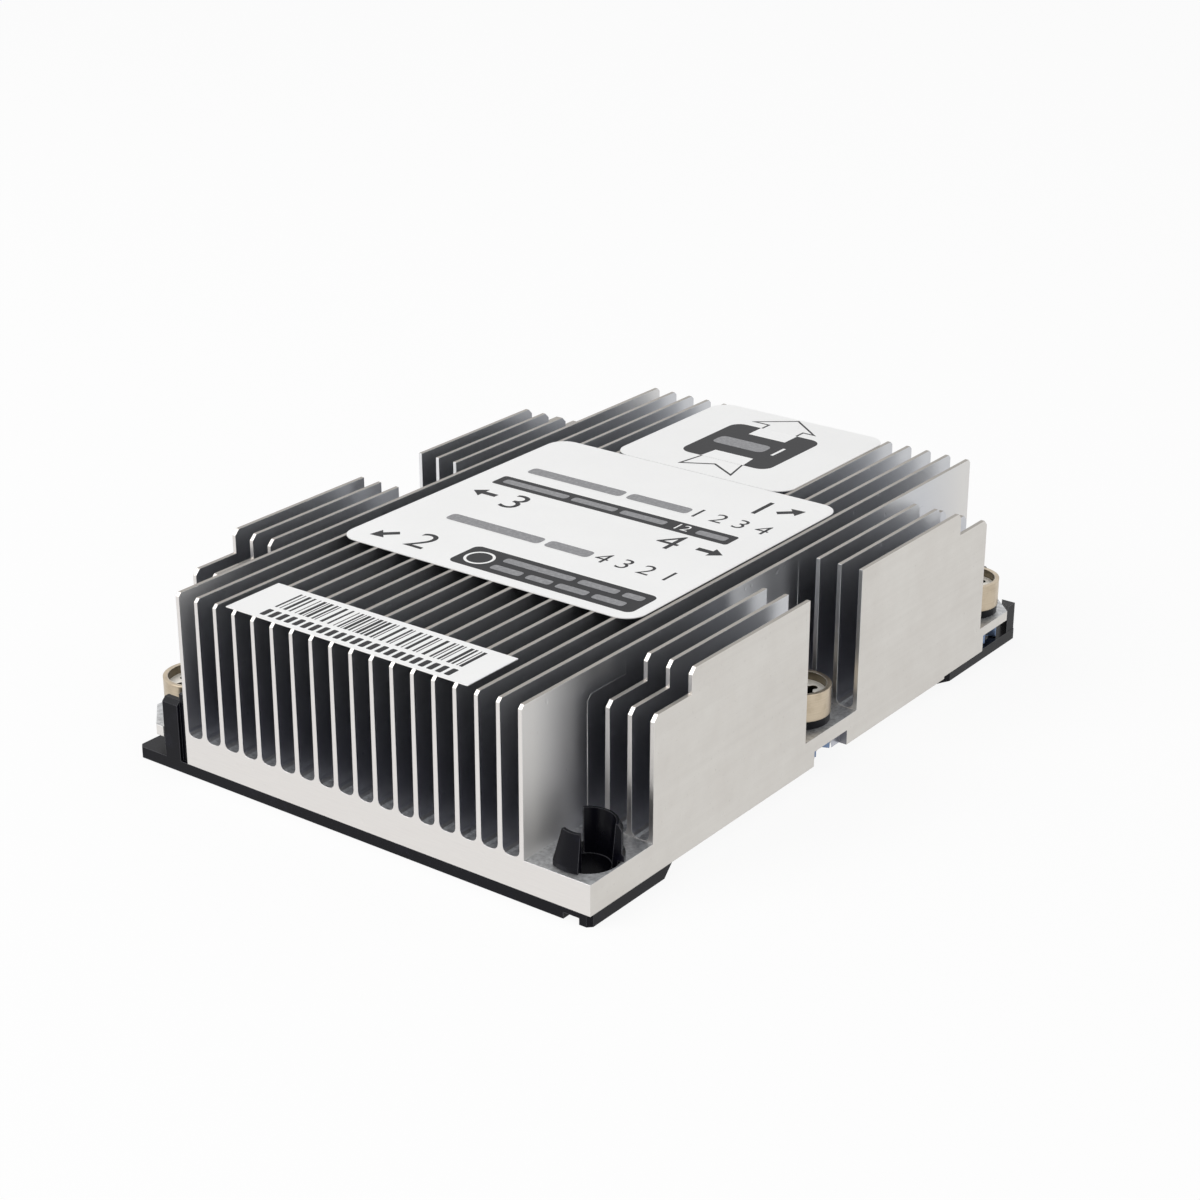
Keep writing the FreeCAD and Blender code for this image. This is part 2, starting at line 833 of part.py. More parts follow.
def check(pieces):
    """Stop if any feature failed or any piece is empty or broken."""
    for thing in doc.Objects:
        if {"Invalid", "Error"} & set(thing.State):
            raise RuntimeError("%s failed: %s" % (thing.Label, thing.State))
    for piece in pieces:
        if piece.Shape.isNull() or not piece.Shape.isValid():
            raise RuntimeError("%s has no valid shape" % piece.Label)
        if len(piece.Shape.Solids) != 1:
            raise RuntimeError("%s is not one solid" % piece.Label)


pieces = [make_fin_body(), make_carrier()]
for place, x, y in CORNERS:
    pieces.append(make_nut(place, x, y))
    pieces.append(make_washer(place, x, y))
    pieces.append(make_ring(place, x, y))
pieces += make_labels()
pieces.append(make_thermal_pad())
doc.recompute()
check(pieces)

os.makedirs("parts", exist_ok=True)
for piece in pieces:
    piece.Shape.exportStep("parts/%s.step" % piece.Label)
    print("%-28s %10.2f mm3 %4d faces" % (piece.Label, piece.Shape.Volume, len(piece.Shape.Faces)))
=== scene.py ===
import math

import bpy
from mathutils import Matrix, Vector


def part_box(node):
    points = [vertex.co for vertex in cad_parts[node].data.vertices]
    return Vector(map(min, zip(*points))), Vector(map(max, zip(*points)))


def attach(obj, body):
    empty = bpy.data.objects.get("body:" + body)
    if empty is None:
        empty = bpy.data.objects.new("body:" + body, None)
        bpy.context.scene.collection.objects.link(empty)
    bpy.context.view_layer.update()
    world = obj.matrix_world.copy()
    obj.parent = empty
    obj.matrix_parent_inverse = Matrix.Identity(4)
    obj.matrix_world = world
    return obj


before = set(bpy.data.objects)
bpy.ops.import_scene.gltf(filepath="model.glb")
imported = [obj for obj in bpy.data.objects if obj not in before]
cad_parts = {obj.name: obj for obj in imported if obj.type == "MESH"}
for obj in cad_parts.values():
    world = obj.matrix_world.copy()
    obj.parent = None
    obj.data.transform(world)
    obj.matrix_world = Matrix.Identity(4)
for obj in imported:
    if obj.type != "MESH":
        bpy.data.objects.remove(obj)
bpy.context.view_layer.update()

MM = 0.001
BODY = "heatsink"
NUT_PLACES = ("front_left", "rear_right", "middle_left", "middle_right")

FIN_COUNT = 24
FIN_TIP = 0.56 * MM

# Heights over the bench where the extrusion's metal changes its look.
RECESS_TOP = 5.0 * MM
MILLED_TOP = 7.0 * MM
TIPS_BOTTOM = 9.0 * MM
# Heights over which the painted shade between the fins lightens upwards.
SLOT_SHADE_BOTTOM = 12.0 * MM
SLOT_SHADE_TOP = 26.0 * MM

# How far the milled corner pockets reach in from the sides and the ends, and half the middle gap.
POCKET_ACROSS = 10.8 * MM
POCKET_ALONG = 14.0 * MM
HALF_GAP = 7.0 * MM

# The captive nut: its cup, and how far the cup's floor and the head's foot lie below its rim.
CUP_RADIUS = 3.8 * MM
CUP_DEPTH = 1.25 * MM
HEAD_DEPTH = 5.2 * MM

# How high the print stands over the paper: the dark ink, and the tones that lie on it.
INK_LIFT = 0.008 * MM
MARK_LIFT = 0.016 * MM

PAPER = (0.965, 0.965, 0.96, 1.0)
CREASED_PAPER = (0.945, 0.945, 0.94, 1.0)
PAPER_FIBRE = (0.89, 0.89, 0.88, 1.0)
INK = (0.006, 0.006, 0.008, 1.0)
HALF_TONE = (0.25, 0.25, 0.26, 1.0)

# The extrusion's metal: pairs that a texture runs between, then single colours laid over them.
SKIN = ((0.62, 0.595, 0.56, 1.0), (0.665, 0.645, 0.61, 1.0))
# Sawn ends: saw-mark tones, painted brighter as a painted highlight.
SAWN_AND_LIT = ((0.79, 0.765, 0.74, 1.0), (0.73, 0.705, 0.685, 1.0))
STAINED = ((0.66, 0.67, 0.68, 1.0), (0.44, 0.445, 0.455, 1.0))
FIN_TIPS = ((0.40, 0.375, 0.34, 1.0), (0.30, 0.28, 0.255, 1.0))
# Painted shade on the flanks between the fins, low in the slots and near the tips.
SLOT_SHADE = ((0.49, 0.50, 0.55, 1.0), (0.57, 0.58, 0.60, 1.0))
DIE_LINE = (0.54, 0.515, 0.485, 1.0)
SPECK = (0.42, 0.395, 0.365, 1.0)
# Painted light on the corner pockets' walls.
LIT_POCKET_WALL = (0.74, 0.73, 0.715, 1.0)
# Painted light on the fins' ends in the middle gap.
GAP_END_LIGHT = (0.80, 0.81, 0.83, 1.0)
# Painted shade on the end walls of the recesses under the base.
RECESS_END_SHADE = (0.20, 0.20, 0.215, 1.0)

# Plating, as clean metal and stain, and the painted light and shade inside and below a nut's head.
NICKEL = ((0.56, 0.475, 0.36, 1.0), (0.38, 0.31, 0.225, 1.0))
ZINC = ((0.19, 0.26, 0.40, 1.0), (0.10, 0.14, 0.23, 1.0))
CUP_WALL_SHADE = ((0.25, 0.215, 0.155, 1.0), (0.13, 0.11, 0.08, 1.0))
LIT_CUP_FLOOR = (0.93, 0.90, 0.84, 1.0)
SOCKET_SHADE = (0.02, 0.018, 0.015, 1.0)
BARREL_SHADE = (0.16, 0.14, 0.12, 1.0)

CARRIER_BLACK = (0.003, 0.003, 0.0055)
WASHER_BLACK = (0.004, 0.004, 0.006)
# A painted highlight along the edges of the black plastic.
EDGE_HIGHLIGHT = (0.11, 0.11, 0.12, 1.0)
COMPOUND = ((0.30, 0.31, 0.32, 1.0), (0.42, 0.43, 0.44, 1.0))

# The photograph's camera, solved from its two views, and the middle of the part that it looks at.
LENS = 74.7
SENSOR = 36.0
CAMERA_TURN = 36.83
CAMERA_RISE = 22.93
CAMERA_DISTANCE = 0.354
TARGET_HEIGHT = 14.65 * MM


class Look:
    """A material under construction: short calls that add nodes and join them."""

    def __init__(self, name, **constants):
        self.material = bpy.data.materials.new(name)
        self.material.use_nodes = True
        self.tree = self.material.node_tree
        self.shader = self.tree.nodes["Principled BSDF"]
        for socket, value in constants.items():
            self.shader.inputs[socket.replace("_", " ")].default_value = value
        self.place = self.add("TexCoord").outputs["Object"]

    def add(self, kind, settings=(), **sockets):
        """A node; each socket is given a value, or a link where the value is another's output."""
        node = self.tree.nodes.new("ShaderNode" + kind)
        for key, value in dict(settings).items():
            setattr(node, key, value)
        for key, value in sockets.items():
            self.feed(node.inputs[key.replace("_", " ")], value)
        return node

    def feed(self, socket, value):
        if isinstance(value, bpy.types.NodeSocket):
            self.tree.links.new(value, socket)
        else:
            socket.default_value = value

    def maths(self, operation, first, second=0.0):
        node = self.add("Math", {"operation": operation})
        self.feed(node.inputs[0], first)
        self.feed(node.inputs[1], second)
        return node.outputs[0]

    def axes(self, vector):
        """The three parts of a vector."""
        return self.add("SeparateXYZ", Vector=vector).outputs

    def moved(self, scale=(1, 1, 1), shift=(0, 0, 0)):
        """Object coordinates, shifted and then scaled, so that a texture can run along one axis."""
        shifted = self.add("VectorMath", {"operation": "ADD"})
        self.feed(shifted.inputs[0], self.place)
        self.feed(shifted.inputs[1], shift)
        scaled = self.add("VectorMath", {"operation": "MULTIPLY"})
        self.feed(scaled.inputs[0], shifted.outputs[0])
        self.feed(scaled.inputs[1], scale)
        return scaled.outputs[0]

    def noise(self, vector, scale, detail=3.0, roughness=0.5):
        node = self.add("TexNoise", Vector=vector, Scale=scale, Detail=detail, Roughness=roughness)
        return node.outputs["Fac"]

    def spread(self, value, low, high, start=0.0, end=1.0):
        """value, with start to end stretched over low to high and held there."""
        limits = {"From_Min": start, "From_Max": end, "To_Min": low, "To_Max": high}
        return self.add("MapRange", Value=value, **limits).outputs["Result"]

    def rise(self, value, start, end):
        """0 up to start and 1 past end."""
        return self.spread(value, 0.0, 1.0, start, end)

    def fall(self, value, start, end):
        """1 up to start and 0 past end."""
        return self.spread(value, 1.0, 0.0, start, end)

    def both(self, first, second):
        """1 only where both masks are 1."""
        return self.maths("MULTIPLY", first, second)

    def mix(self, share, first, second):
        """A number or, where first is a colour, a colour between first and second."""
        colour = isinstance(first, tuple) or getattr(first, "type", "") == "RGBA"
        node = self.add("Mix", {"data_type": "RGBA" if colour else "FLOAT"})
        kind = "Color" if colour else "Value"
        wanted = "RGBA" if colour else "VALUE"
        pair = [s for s in node.inputs if s.name in "AB" and s.type == wanted and s.enabled]
        self.feed(node.inputs["Factor"], share)
        self.feed(pair[0], first)
        self.feed(pair[1], second)
        return next(s for s in node.outputs if s.enabled and s.name == "Result")

    def bump(self, height, distance, strength=1.0, normal=None):
        node = self.add("Bump", Height=height, Distance=distance, Strength=strength)
        if normal is not None:
            self.feed(node.inputs["Normal"], normal)
        return node.outputs["Normal"]

    def edges(self, radius):
        """1 close to the piece's outward or inward edges, 0 elsewhere."""
        # The rounded normal, used to find the edges that get a painted highlight.
        wear_and_edge_light = self.add("Bevel", {"samples": 6}, Radius=radius).outputs["Normal"]
        flat = self.add("NewGeometry").outputs["Normal"]
        match = self.add("VectorMath", {"operation": "DOT_PRODUCT"})
        self.feed(match.inputs[0], wear_and_edge_light)
        self.feed(match.inputs[1], flat)
        return self.fall(match.outputs["Value"], 0.85, 0.99)

    def facing(self, axis):
        """1 where the surface faces along that axis either way, 0 where it lies along it."""
        normal = self.add("NewGeometry").outputs["Normal"]
        part = self.maths("ABSOLUTE", self.axes(normal)["XYZ"[axis]])
        return self.rise(part, 0.6, 0.9)

    def finish(self, colour, roughness, normal=None):
        self.feed(self.shader.inputs["Base Color"], colour)
        self.feed(self.shader.inputs["Roughness"], roughness)
        if normal is not None:
            self.feed(self.shader.inputs["Normal"], normal)
        return self.material


def aluminium(half_width, half_length):
    """Mill-finish extrusion: die lines on the fins, saw marks on ends, cutter marks on floors."""
    look = Look("extruded_aluminium", Metallic=1.0)
    flank = look.facing(0)
    end_face = look.facing(1)
    flat_face = look.facing(2)
    x, y, z = look.axes(look.place)
    x = look.maths("ABSOLUTE", x)
    y = look.maths("ABSOLUTE", y)

    die_lines = look.noise(look.moved((1400, 18, 1400)), 1.0, 4.0, 0.6)
    saw_marks = look.noise(look.moved((240, 1, 5200)), 1.0, 3.0, 0.55)
    cutter_marks = look.noise(look.moved((2600, 420, 1)), 1.0, 3.0, 0.6)
    relief = look.mix(end_face, die_lines, saw_marks)
    relief = look.mix(flat_face, relief, cutter_marks)

    blotches = look.noise(look.moved(), 140.0, 4.0, 0.6)
    specks = look.noise(look.moved(), 2100.0, 2.0, 0.5)
    metal = look.mix(look.rise(blotches, 0.3, 0.7), *SKIN)
    metal = look.mix(look.spread(relief, 0.0, 0.14, 0.35, 0.75), metal, DIE_LINE)
    metal = look.mix(look.spread(specks, 0.0, 0.3, 0.66, 0.76), metal, SPECK)

    # The sawn ends are fresh metal with saw marks, and they are also painted brighter than the skin
    # as a painted highlight; what the cutter left low down is duller and mottled.
    metal = look.mix(end_face, metal, look.mix(saw_marks, *SAWN_AND_LIT))
    over_recess = look.rise(z, RECESS_TOP, RECESS_TOP + 0.4 * MM)
    low_down = look.both(over_recess, look.fall(z, MILLED_TOP, MILLED_TOP + 0.6 * MM))
    floor = look.both(flat_face, low_down)
    metal = look.mix(floor, metal, look.mix(look.rise(specks, 0.35, 0.7), *STAINED))
    tips = look.both(flat_face, look.rise(z, TIPS_BOTTOM, TIPS_BOTTOM + 1.0 * MM))
    metal = look.mix(tips, metal, look.mix(blotches, *FIN_TIPS))

    # Between the fins the flanks get a bluish painted shade, darker low in the slots and lighter
    # towards the tips; the corner pockets' walls get a painted lighter tone instead.
    inboard = look.fall(x, half_width - 0.4 * MM, half_width - 0.2 * MM)
    between = look.both(flank, inboard)
    pocket_edge = half_width - POCKET_ACROSS
    in_pocket = look.rise(x, pocket_edge, pocket_edge + 0.2 * MM)
    near_end = look.rise(y, half_length - POCKET_ALONG, half_length - 2.0 * MM)
    pocket_wall = look.both(look.both(between, in_pocket), near_end)
    # Painted shade: the flanks between the fins are darkened, most of all low in the slots.
    slot_shade = look.mix(look.rise(z, SLOT_SHADE_BOTTOM, SLOT_SHADE_TOP), *SLOT_SHADE)
    metal = look.mix(between, metal, slot_shade)
    # Painted light: the corner pockets' walls get a light tone in place of the slot shade.
    metal = look.mix(pocket_wall, metal, LIT_POCKET_WALL)

    # The fins' ends facing the middle gap get a pale bluish painted light that fades away from the
    # gap; the ends of the recesses under the base get painted shade.
    gap = look.both(end_face, look.spread(y, 0.75, 0.0, HALF_GAP, HALF_GAP + 1.0 * MM))
    # Painted light: the fins' ends in the middle gap are painted pale and bluish.
    metal = look.mix(gap, metal, GAP_END_LIGHT)
    inner = look.fall(y, half_length - 0.6 * MM, half_length - 0.4 * MM)
    under = look.fall(z, RECESS_TOP, RECESS_TOP + 0.4 * MM)
    recess_shade = look.both(under, look.both(end_face, inner))
    # Painted shade: the recess ends under the base are darkened.
    metal = look.mix(recess_shade, metal, RECESS_END_SHADE)

    roughness = look.mix(relief, 0.28, 0.44)
    roughness = look.mix(floor, roughness, 0.5)
    roughness = look.mix(pocket_wall, roughness, 0.62)
    rounded = look.add("Bevel", {"samples": 4}, Radius=0.10 * MM).outputs["Normal"]
    normal = look.bump(relief, 0.010 * MM, 0.4, rounded)
    dents = look.fall(look.noise(look.moved(), 560.0, 2.0, 0.5), 0.70, 0.76)
    return look.finish(metal, roughness, look.bump(dents, 0.05 * MM, 0.7, normal))


def plastic(name, tone, roughness):
    """Black moulded plastic with a fine spark-eroded grain and faint flow marks."""
    look = Look(name, Specular_IOR_Level=0.13)
    fine = look.noise(look.moved(), 3800.0, 2.0, 0.6)
    flow = look.noise(look.moved((60, 160, 60)), 1.0, 3.0, 0.6)
    rubbed = look.rise(look.noise(look.moved(), 420.0, 5.0, 0.65), 0.56, 0.72)
    pale = tuple(2.4 * part for part in tone) + (1.0,)
    colour = look.mix(rubbed, tone + (1.0,), pale)
    # Painted highlight: a lighter rim along the plastic's edges.
    edge_highlight = look.maths("MULTIPLY", look.edges(0.16 * MM), 0.8)
    colour = look.mix(edge_highlight, colour, EDGE_HIGHLIGHT)
    gloss = look.mix(flow, roughness - 0.08, roughness + 0.10)
    return look.finish(colour, gloss, look.bump(fine, 0.006 * MM, 0.5))


def turned_steel(name, centre, plating, cup_top=None):
    """Plated steel turned on a lathe: fine rings about the piece's own axis, and stains.

    A nut's cup is given by the height of its rim: painted shade on its wall, painted light on its
    floor, black painted shade in the socket, and painted shade on the barrel below the head.
    """
    clean, stain = plating
    roughness = 0.26
    look = Look(name, Metallic=1.0)
    home = (-centre.x, -centre.y, 0.0)
    x, y, z = look.axes(look.moved(shift=home))
    squares = look.maths("ADD", look.maths("MULTIPLY", x, x), look.maths("MULTIPLY", y, y))
    radius = look.maths("SQRT", squares)
    across = look.facing(2)
    groove_place = look.mix(across, z, radius)
    one_way = {"noise_dimensions": "1D"}
    rings = look.add("TexNoise", one_way, W=groove_place, Scale=5200.0, Detail=2.0).outputs["Fac"]
    stains = look.noise(look.moved(), 520.0, 4.0, 0.65)
    colour = look.mix(look.spread(stains, 0.0, 0.65, 0.45, 0.75), clean, stain)
    colour = look.mix(look.spread(rings, 0.0, 0.25, 0.4, 0.8), colour, stain)
    if cup_top is not None:
        inside = look.fall(radius, CUP_RADIUS, CUP_RADIUS + 0.06 * MM)
        # Painted shade on the cup's inner wall, varied by the stains.
        wall_shade = look.both(inside, look.maths("SUBTRACT", 1.0, across))
        colour = look.mix(wall_shade, colour, look.mix(stains, *CUP_WALL_SHADE))
        # Painted light on the cup's floor.
        floor = look.both(inside, across)
        colour = look.mix(floor, colour, LIT_CUP_FLOOR)
        cup_floor = cup_top - CUP_DEPTH
        # Painted shade: the star socket below the cup floor is painted near-black.
        socket = look.both(inside, look.fall(z, cup_floor - 0.65 * MM, cup_floor))
        colour = look.mix(socket, colour, SOCKET_SHADE)
        head_foot = cup_top - HEAD_DEPTH
        # Painted shade: the barrel below the head is darkened.
        barrel_shade = look.fall(z, head_foot - 0.2 * MM, head_foot)
        colour = look.mix(barrel_shade, colour, BARREL_SHADE)
        roughness = look.mix(floor, roughness, 0.6)
    rounded = look.add("Bevel", {"samples": 6}, Radius=0.24 * MM).outputs["Normal"]
    dull = look.maths("MULTIPLY_ADD", rings, 0.16)
    look.feed(dull.node.inputs[2], roughness)
    return look.finish(colour, dull, look.bump(rings, 0.006 * MM, 0.5, rounded))


def paper(fin_pitch):
    """Coated label stock that dips very slightly between the fins under it."""
    look = Look("label_paper", Coat_Weight=0.15, Coat_Roughness=0.25, Sheen_Weight=0.05)
    x = look.axes(look.place)[0]
    wave = look.maths("COSINE", look.maths("MULTIPLY", x, 2 * math.pi / fin_pitch))
    fibre = look.noise(look.moved((1, 1.6, 1)), 2600.0, 3.0, 0.6)
    crumple = look.noise(look.moved(), 90.0, 3.0, 0.5)
    tint = look.mix(look.rise(crumple, 0.35, 0.65), PAPER, CREASED_PAPER)
    tint = look.mix(look.spread(fibre, 0.0, 0.25, 0.45, 0.8), tint, PAPER_FIBRE)
    dips = look.maths("MULTIPLY", wave, 0.5)
    creases = look.maths("MULTIPLY", crumple, 1.5)
    uneven = look.bump(look.maths("ADD", dips, creases), 0.03 * MM, 0.5)
    normal = look.bump(fibre, 0.002 * MM, 0.4, uneven)
    return look.finish(tint, look.mix(fibre, 0.42, 0.58), normal)


def ink(name, tone):
    """Printed ink with a slightly broken edge to its gloss."""
    look = Look(name, Specular_IOR_Level=0.2)
    mottle = look.noise(look.moved(), 1900.0, 3.0, 0.6)
    wear_and_edge_light = tuple(min(1.0, 1.5 * part + 0.012) for part in tone[:3]) + (1.0,)
    colour = look.mix(look.rise(mottle, 0.45, 0.75), tone, wear_and_edge_light)
    return look.finish(colour, look.mix(mottle, 0.35, 0.55))


def compound():
    """Grey thermal compound, printed as a grid of small domes."""
    look = Look("thermal_compound", Specular_IOR_Level=0.35)
    to_edge = {"feature": "DISTANCE_TO_EDGE"}
    cells = look.add("TexVoronoi", to_edge, Vector=look.place, Scale=520.0).outputs["Distance"]
    smear = look.noise(look.moved((1, 3, 1)), 160.0, 4.0, 0.6)
    colour = look.mix(smear, *COMPOUND)
    return look.finish(colour, look.mix(smear, 0.5, 0.75), look.bump(cells, 0.05 * MM, 0.8))


def wear(node, material):
    """Give a CAD node its finished material."""
    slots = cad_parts[node].material_slots
    if not slots:
        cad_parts[node].data.materials.append(material)
    for slot in slots:
        slot.material = material


def dress_the_frame():
    """Materials for every CAD node."""
    low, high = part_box("fin_body")
    pitch = (high.x - low.x - FIN_TIP) / (FIN_COUNT - 1)
    wear("fin_body", aluminium(high.x, high.y))
    wear("carrier_frame", plastic("carrier_plastic", CARRIER_BLACK, 0.26))
    washer = plastic("washer_plastic", WASHER_BLACK, 0.30)
    for place in NUT_PLACES:
        low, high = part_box("nut_" + place)
        centre = (low + high) / 2
        nut = turned_steel("nickel_steel_" + place, centre, NICKEL, cup_top=high.z)
        ring = turned_steel("zinc_steel_" + place, centre, ZINC)
        wear("nut_" + place, nut)
        wear("retaining_ring_" + place, ring)
        wear("washer_" + place, washer)
    stock = paper(pitch)
    for label in ("label_tightening_steps", "label_airflow", "label_code"):
        wear(label, stock)
    wear("thermal_pad", compound())


class Print:
    """The print on one label. Places are in millimetres from the label's middle."""

    def __init__(self, label, inks):
        low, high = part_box(label)
        self.middle = Vector(((low.x + high.x) / 2, (low.y + high.y) / 2, high.z))
        self.inks = inks

    def lay(self, name, data, tone):
        """Turn a flat curve into a piece lying on the paper."""
        draft = bpy.data.objects.new(name + "_draft", data)
        bpy.context.scene.collection.objects.link(draft)
        bpy.context.view_layer.update()
        depsgraph = bpy.context.evaluated_depsgraph_get()
        mesh = bpy.data.meshes.new_from_object(draft.evaluated_get(depsgraph))
        bpy.data.objects.remove(draft)
        mesh.name = name
        mesh.materials.clear()
        mesh.materials.append(self.inks[tone])
        piece = bpy.data.objects.new(name, mesh)
        piece.location = self.middle + Vector((0, 0, INK_LIFT if tone == "dark" else MARK_LIFT))
        bpy.context.scene.collection.objects.link(piece)
        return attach(piece, BODY)

    def shapes(self, name, loops, tone="dark"):
        """Filled outlines; a loop inside another is a hole."""
        data = bpy.data.curves.new(name, "CURVE")
        data.dimensions = "2D"
        data.fill_mode = "BOTH"
        for loop in loops:
            spline = data.splines.new("POLY")
            spline.points.add(len(loop) - 1)
            for point, (x, y) in zip(spline.points, loop):
                point.co = (x * MM, y * MM, 0, 1)
            spline.use_cyclic_u = True
        return self.lay(name, data, tone)

    def figures(self, name, text, x, y, height, tone="dark"):
        """Plain numerals, centred on (x, y), of that height; a font's size is 1.38 of it."""
        data = bpy.data.curves.new(name, "FONT")
        data.body = text
        data.size = height * MM * 1.38
        data.align_x = "CENTER"
        data.align_y = "CENTER"
        data.resolution_u = 4
        data.offset = -0.005 * height * MM
        piece = self.lay(name, data, tone)
        piece.location += Vector((x * MM, y * MM, 0))
        return piece


def rounded(left, front, right, rear, radius, steps=6):
    """A rectangle's outline with round corners."""
    corners = (
        (right - radius, rear - radius, 0),
        (left + radius, rear - radius, 90),
        (left + radius, front + radius, 180),
        (right - radius, front + radius, 270),
    )
    outline = []
    for x, y, start in corners:
        for k in range(steps + 1):
            angle = math.radians(start + 90 * k / steps)
            outline.append((x + radius * math.cos(angle), y + radius * math.sin(angle)))
    return outline


def turned(outline, x, y, angle):
    """An outline turned by angle, in degrees, and moved to (x, y)."""
    c = math.cos(math.radians(angle))
    s = math.sin(math.radians(angle))
    return [(x + c * u - s * v, y + s * u + c * v) for u, v in outline]


def arrow(x, y, angle, length=4.2):
    """A short solid arrow centred on (x, y)."""
    tip = length / 2
    neck = 0.05 * length
    barb = 0.34 * length
    shaft = 0.12 * length
    lower = [(-tip, -shaft), (neck, -shaft), (neck, -barb)]
    upper = [(neck, barb), (neck, shaft), (-tip, shaft)]
    return turned(lower + [(tip, 0)] + upper, x, y, angle)


def bars(left, right, y, height, words):
    """Plain bars that stand where lines of words would be."""
    gap = 0.9
    total = sum(words)
    room = right - left - gap * (len(words) - 1)
    outlines = []
    x = left
    for word in words:
        width = room * word / total
        outlines.append(rounded(x, y - height / 2, x + width, y + height / 2, 0.3 * height, 3))
        x += width + gap
    return outlines


def print_steps(inks):
    """The large label: the nuts' numbers with their arrows, and fields in place of the words."""
    sheet = Print("label_tightening_steps", inks)
    numbers = (("1", 16.1, 18.4), ("2", -14.2, -20.1), ("3", -13.5, -0.7), ("4", 13.1, 0.0))
    for text, x, y in numbers:
        sheet.figures("step_number_" + text, text, x, y, 5.6)
    sheet.shapes("step_arrows", [
        arrow(20.3, 19.7, 42),
        arrow(-20.3, -20.9, 222),
        arrow(-19.4, -0.1, 180),
        arrow(19.6, 0.4, 0),
    ])
    up_row = 11.4
    down_row = -10.2
    torque_row = 5.55
    tall = 2.3
    small = 1.5
    words = bars(-20.1, 8.6, up_row, tall, (8, 5)) + bars(-17.6, 7.4, down_row, tall, (11, 5))
    sheet.shapes("step_word_fields", words, "half")
    sheet.figures("order_numbers_up", "1 2 3 4", 15.4, up_row, 3.4)
    sheet.figures("order_numbers_down", "4 3 2 1", 14.8, down_row, 3.4)
    sheet.shapes("step_dark_fields", [
        rounded(-21.5, 3.8, 19.9, 7.3, 0.5),
        rounded(-7.2, -23.2, 23.4, -16.6, 1.1),
    ])
    lines = bars(-20.3, 8.6, torque_row, small, (9, 6, 6))
    lines += bars(13.9, 18.9, torque_row, small, (6,))
    lines += bars(-0.9, 22.2, -18.5, small, (11, 6, 3))
    lines += bars(-0.9, 21.2, -21.3, small, (5, 4, 5, 5))
    sheet.shapes("step_line_fields", lines, "half")
    sheet.figures("torque_number", "12", 11.3, torque_row, 2.1, "pale")
    sheet.shapes("step_ring_mark", [
        rounded(-6.3, -22.2, -1.9, -17.8, 2.19, 10),
        rounded(-5.9, -21.8, -2.3, -18.2, 1.79, 10),
    ], "pale")


def print_airflow(inks):
    """The rear label: a dark square with an outlined arrow along the fins running behind it."""
    sheet = Print("label_airflow", inks)
    tail = ((-3.7, -8.0), (-4.6, -12.9), (0.2, -10.2), (5.0, -12.9), (3.9, -8.0))
    tail_inside = ((-3.4, -8.0), (-4.1, -12.2), (0.2, -9.75), (4.5, -12.2), (3.6, -8.0))
    head = (
        (-3.3, 7.8), (-3.3, 9.6), (-6.3, 9.6), (-0.4, 14.2), (5.6, 9.6), (3.3, 9.6), (3.3, 7.8),
    )
    head_inside = (
        (-2.95, 7.8), (-2.95, 9.95), (-5.3, 9.95), (-0.4, 13.75),
        (4.6, 9.95), (2.95, 9.95), (2.95, 7.8),
    )
    sheet.shapes("airflow_block", [rounded(-7.9, -8.0, 7.9, 7.8, 2.0)])
    sheet.shapes("airflow_arrow_ends", [
        [(-3.3, -4.7), (-3.7, -8.0), (3.9, -8.0), (3.5, -4.7)],
        [(-3.3, 4.3), (-3.3, 7.8), (3.3, 7.8), (3.3, 4.3)],
    ], "pale")
    sheet.shapes("airflow_tail", [tail, tail_inside])
    sheet.shapes("airflow_head", [head, head_inside])
    sheet.shapes("airflow_word_field", bars(-6.1, 3.0, -0.2, 3.3, (3,)), "half")
    sheet.figures("airflow_number", "1", 4.9, -0.2, 3.9, "pale")


def print_code(inks):
    """The front label: plain stripes of uneven width over a row of small fields."""
    sheet = Print("label_code", inks)
    left = -15.1
    right = 16.6
    front = -1.2
    rear = 3.8
    widths = (0.18, 0.36, 0.54)
    gaps = (0.26, 0.44, 0.70)
    golden = 0.618034
    stripes = []
    x = left
    k = 1
    while x < right:
        width = widths[int(3 * (k * golden % 1))]
        stripes.append([(x, front), (x + width, front), (x + width, rear), (x, rear)])
        x += width + gaps[int(3 * (k * k * golden % 1))]
        k += 1
    sheet.shapes("code_stripes", stripes)
    cells = [rounded(left + 1.4 * n, -4.1, left + 0.9 + 1.4 * n, -2.1, 0.2, 3) for n in range(23)]
    sheet.shapes("code_cells", cells)


def print_labels():
    inks = {
        "dark": ink("label_ink", INK),
        "half": ink("label_half_tone", HALF_TONE),
        "pale": ink("label_mark", PAPER),
    }
    print_steps(inks)
    print_airflow(inks)
    print_code(inks)


def stage_material(name, colour, shown):
    """A matte surface; shown is the share of plain white that only the camera and mirrors see."""
    look = Look(name, Roughness=0.9, Specular_IOR_Level=0.1)
    look.shader.inputs["Base Color"].default_value = colour
    path = look.add("LightPath").outputs
    seen = look.maths("MAXIMUM", path["Is Camera Ray"], path["Is Glossy Ray"])
    seen = look.maths("MAXIMUM", seen, path["Is Transmission Ray"])
    glow = look.add("Emission", Color=(1, 1, 1, 1), Strength=1.0)
    blend = look.add("MixShader")
    look.feed(blend.inputs[0], look.maths("MULTIPLY", seen, shown))
    look.feed(blend.inputs[1], look.shader.outputs[0])
    look.feed(blend.inputs[2], glow.outputs[0])
    look.tree.links.new(blend.outputs[0], look.tree.nodes["Material Output"].inputs["Surface"])
    return look.material


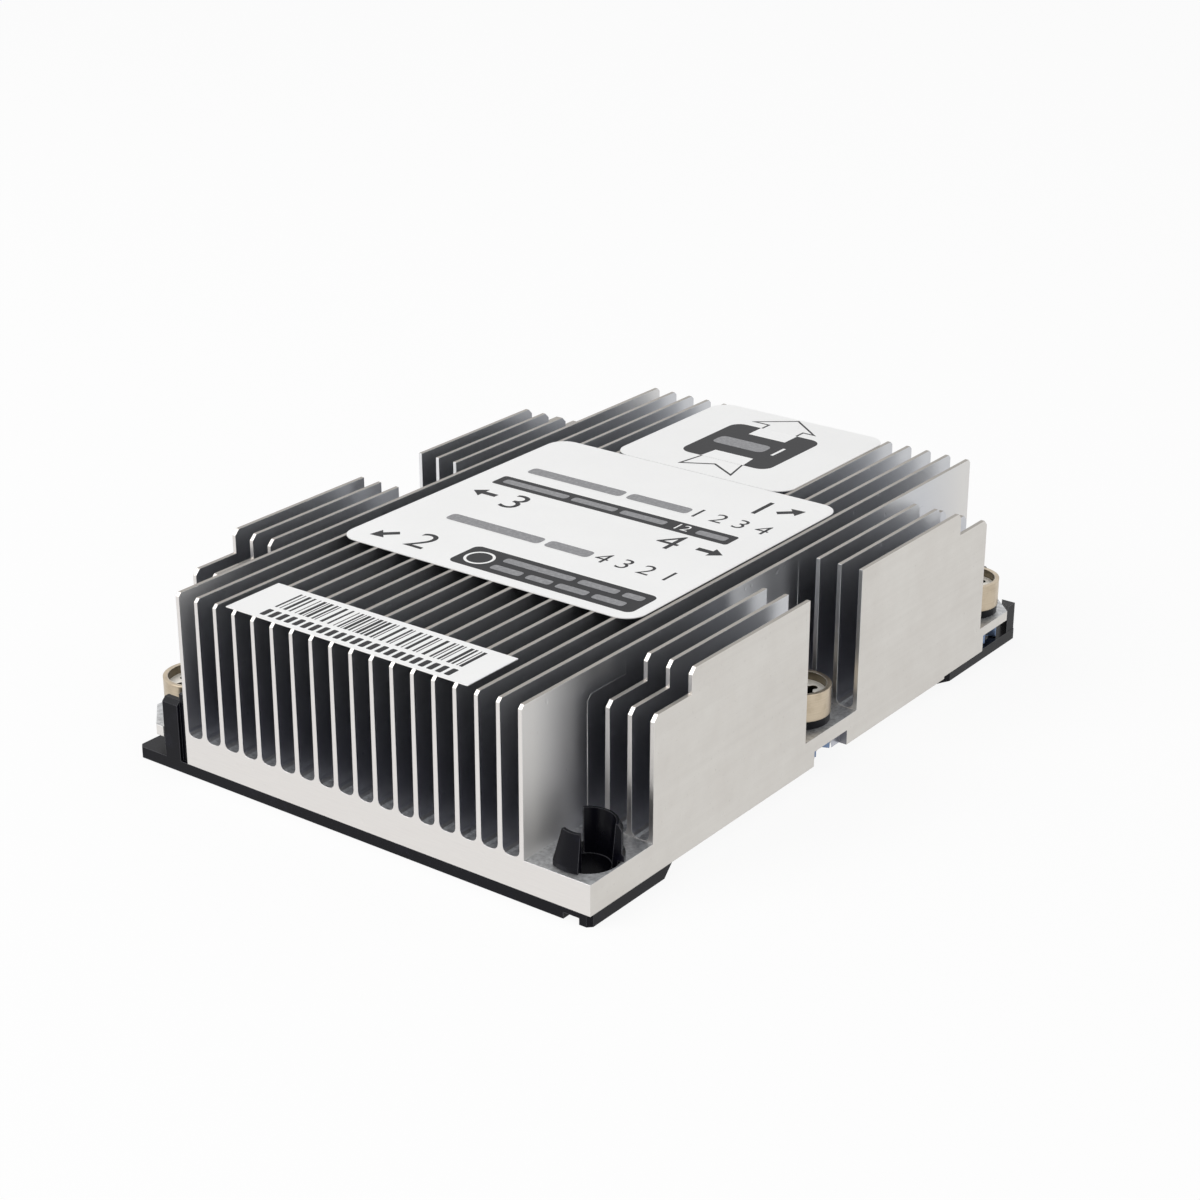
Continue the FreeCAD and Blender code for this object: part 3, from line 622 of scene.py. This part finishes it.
def make_floor():
    size = 3.0
    mesh = bpy.data.meshes.new("floor")
    corners = [(-size, -size, 0), (size, -size, 0), (size, size, 0), (-size, size, 0)]
    mesh.from_pydata(corners, [], [(0, 1, 2, 3)])
    mesh.materials.append(stage_material("floor_white", (0.93, 0.93, 0.93, 1), 0.9))
    floor = bpy.data.objects.new("floor", mesh)
    floor.location.z = -0.05 * MM
    bpy.context.scene.collection.objects.link(floor)


def make_world():
    """Plain white to the camera and to mirrors, and a soft even light on the object."""
    world = bpy.data.worlds.new("studio")
    bpy.context.scene.world = world
    world.use_nodes = True
    tree = world.node_tree
    background = tree.nodes["Background"]
    background.inputs["Color"].default_value = (1, 1, 1, 1)
    path = tree.nodes.new("ShaderNodeLightPath")
    seen = tree.nodes.new("ShaderNodeMath")
    seen.operation = "MAXIMUM"
    tree.links.new(path.outputs["Is Camera Ray"], seen.inputs[0])
    tree.links.new(path.outputs["Is Glossy Ray"], seen.inputs[1])
    strength = tree.nodes.new("ShaderNodeMapRange")
    strength.inputs["To Min"].default_value = 0.55
    strength.inputs["To Max"].default_value = 1.0
    tree.links.new(seen.outputs[0], strength.inputs["Value"])
    tree.links.new(strength.outputs["Result"], background.inputs["Strength"])


def point_at(thing, target):
    thing.rotation_euler = (target - thing.location).to_track_quat("-Z", "Y").to_euler()


def place_from(target, azimuth, elevation, distance):
    """A place seen from target; azimuth 0 is the front, turning towards the right-hand side."""
    turn = math.radians(azimuth)
    rise = math.radians(elevation)
    level = math.cos(rise)
    way = Vector((math.sin(turn) * level, -math.cos(turn) * level, math.sin(rise)))
    return target + distance * way


def make_lamp(name, target, azimuth, elevation, distance, size, power):
    data = bpy.data.lights.new(name, "AREA")
    data.size = size
    data.energy = power
    lamp = bpy.data.objects.new(name, data)
    lamp.location = place_from(target, azimuth, elevation, distance)
    bpy.context.scene.collection.objects.link(lamp)
    point_at(lamp, target)


def make_camera(target):
    data = bpy.data.cameras.new("camera")
    data.lens = LENS
    data.sensor_width = SENSOR
    data.clip_start = 0.01
    camera = bpy.data.objects.new("camera", data)
    camera.location = place_from(target, CAMERA_TURN, CAMERA_RISE, CAMERA_DISTANCE)
    bpy.context.scene.collection.objects.link(camera)
    point_at(camera, target)
    bpy.context.scene.camera = camera


def make_studio():
    target = Vector((0, 0, TARGET_HEIGHT))
    make_floor()
    make_world()
    make_lamp("key_lamp", target, -35, 42, 0.9, 0.55, 3.8)
    make_lamp("fill_lamp", target, 85, 30, 1.0, 0.7, 1.2)
    make_camera(target)
    bpy.context.scene.view_settings.view_transform = "Standard"


dress_the_frame()
print_labels()
make_studio()
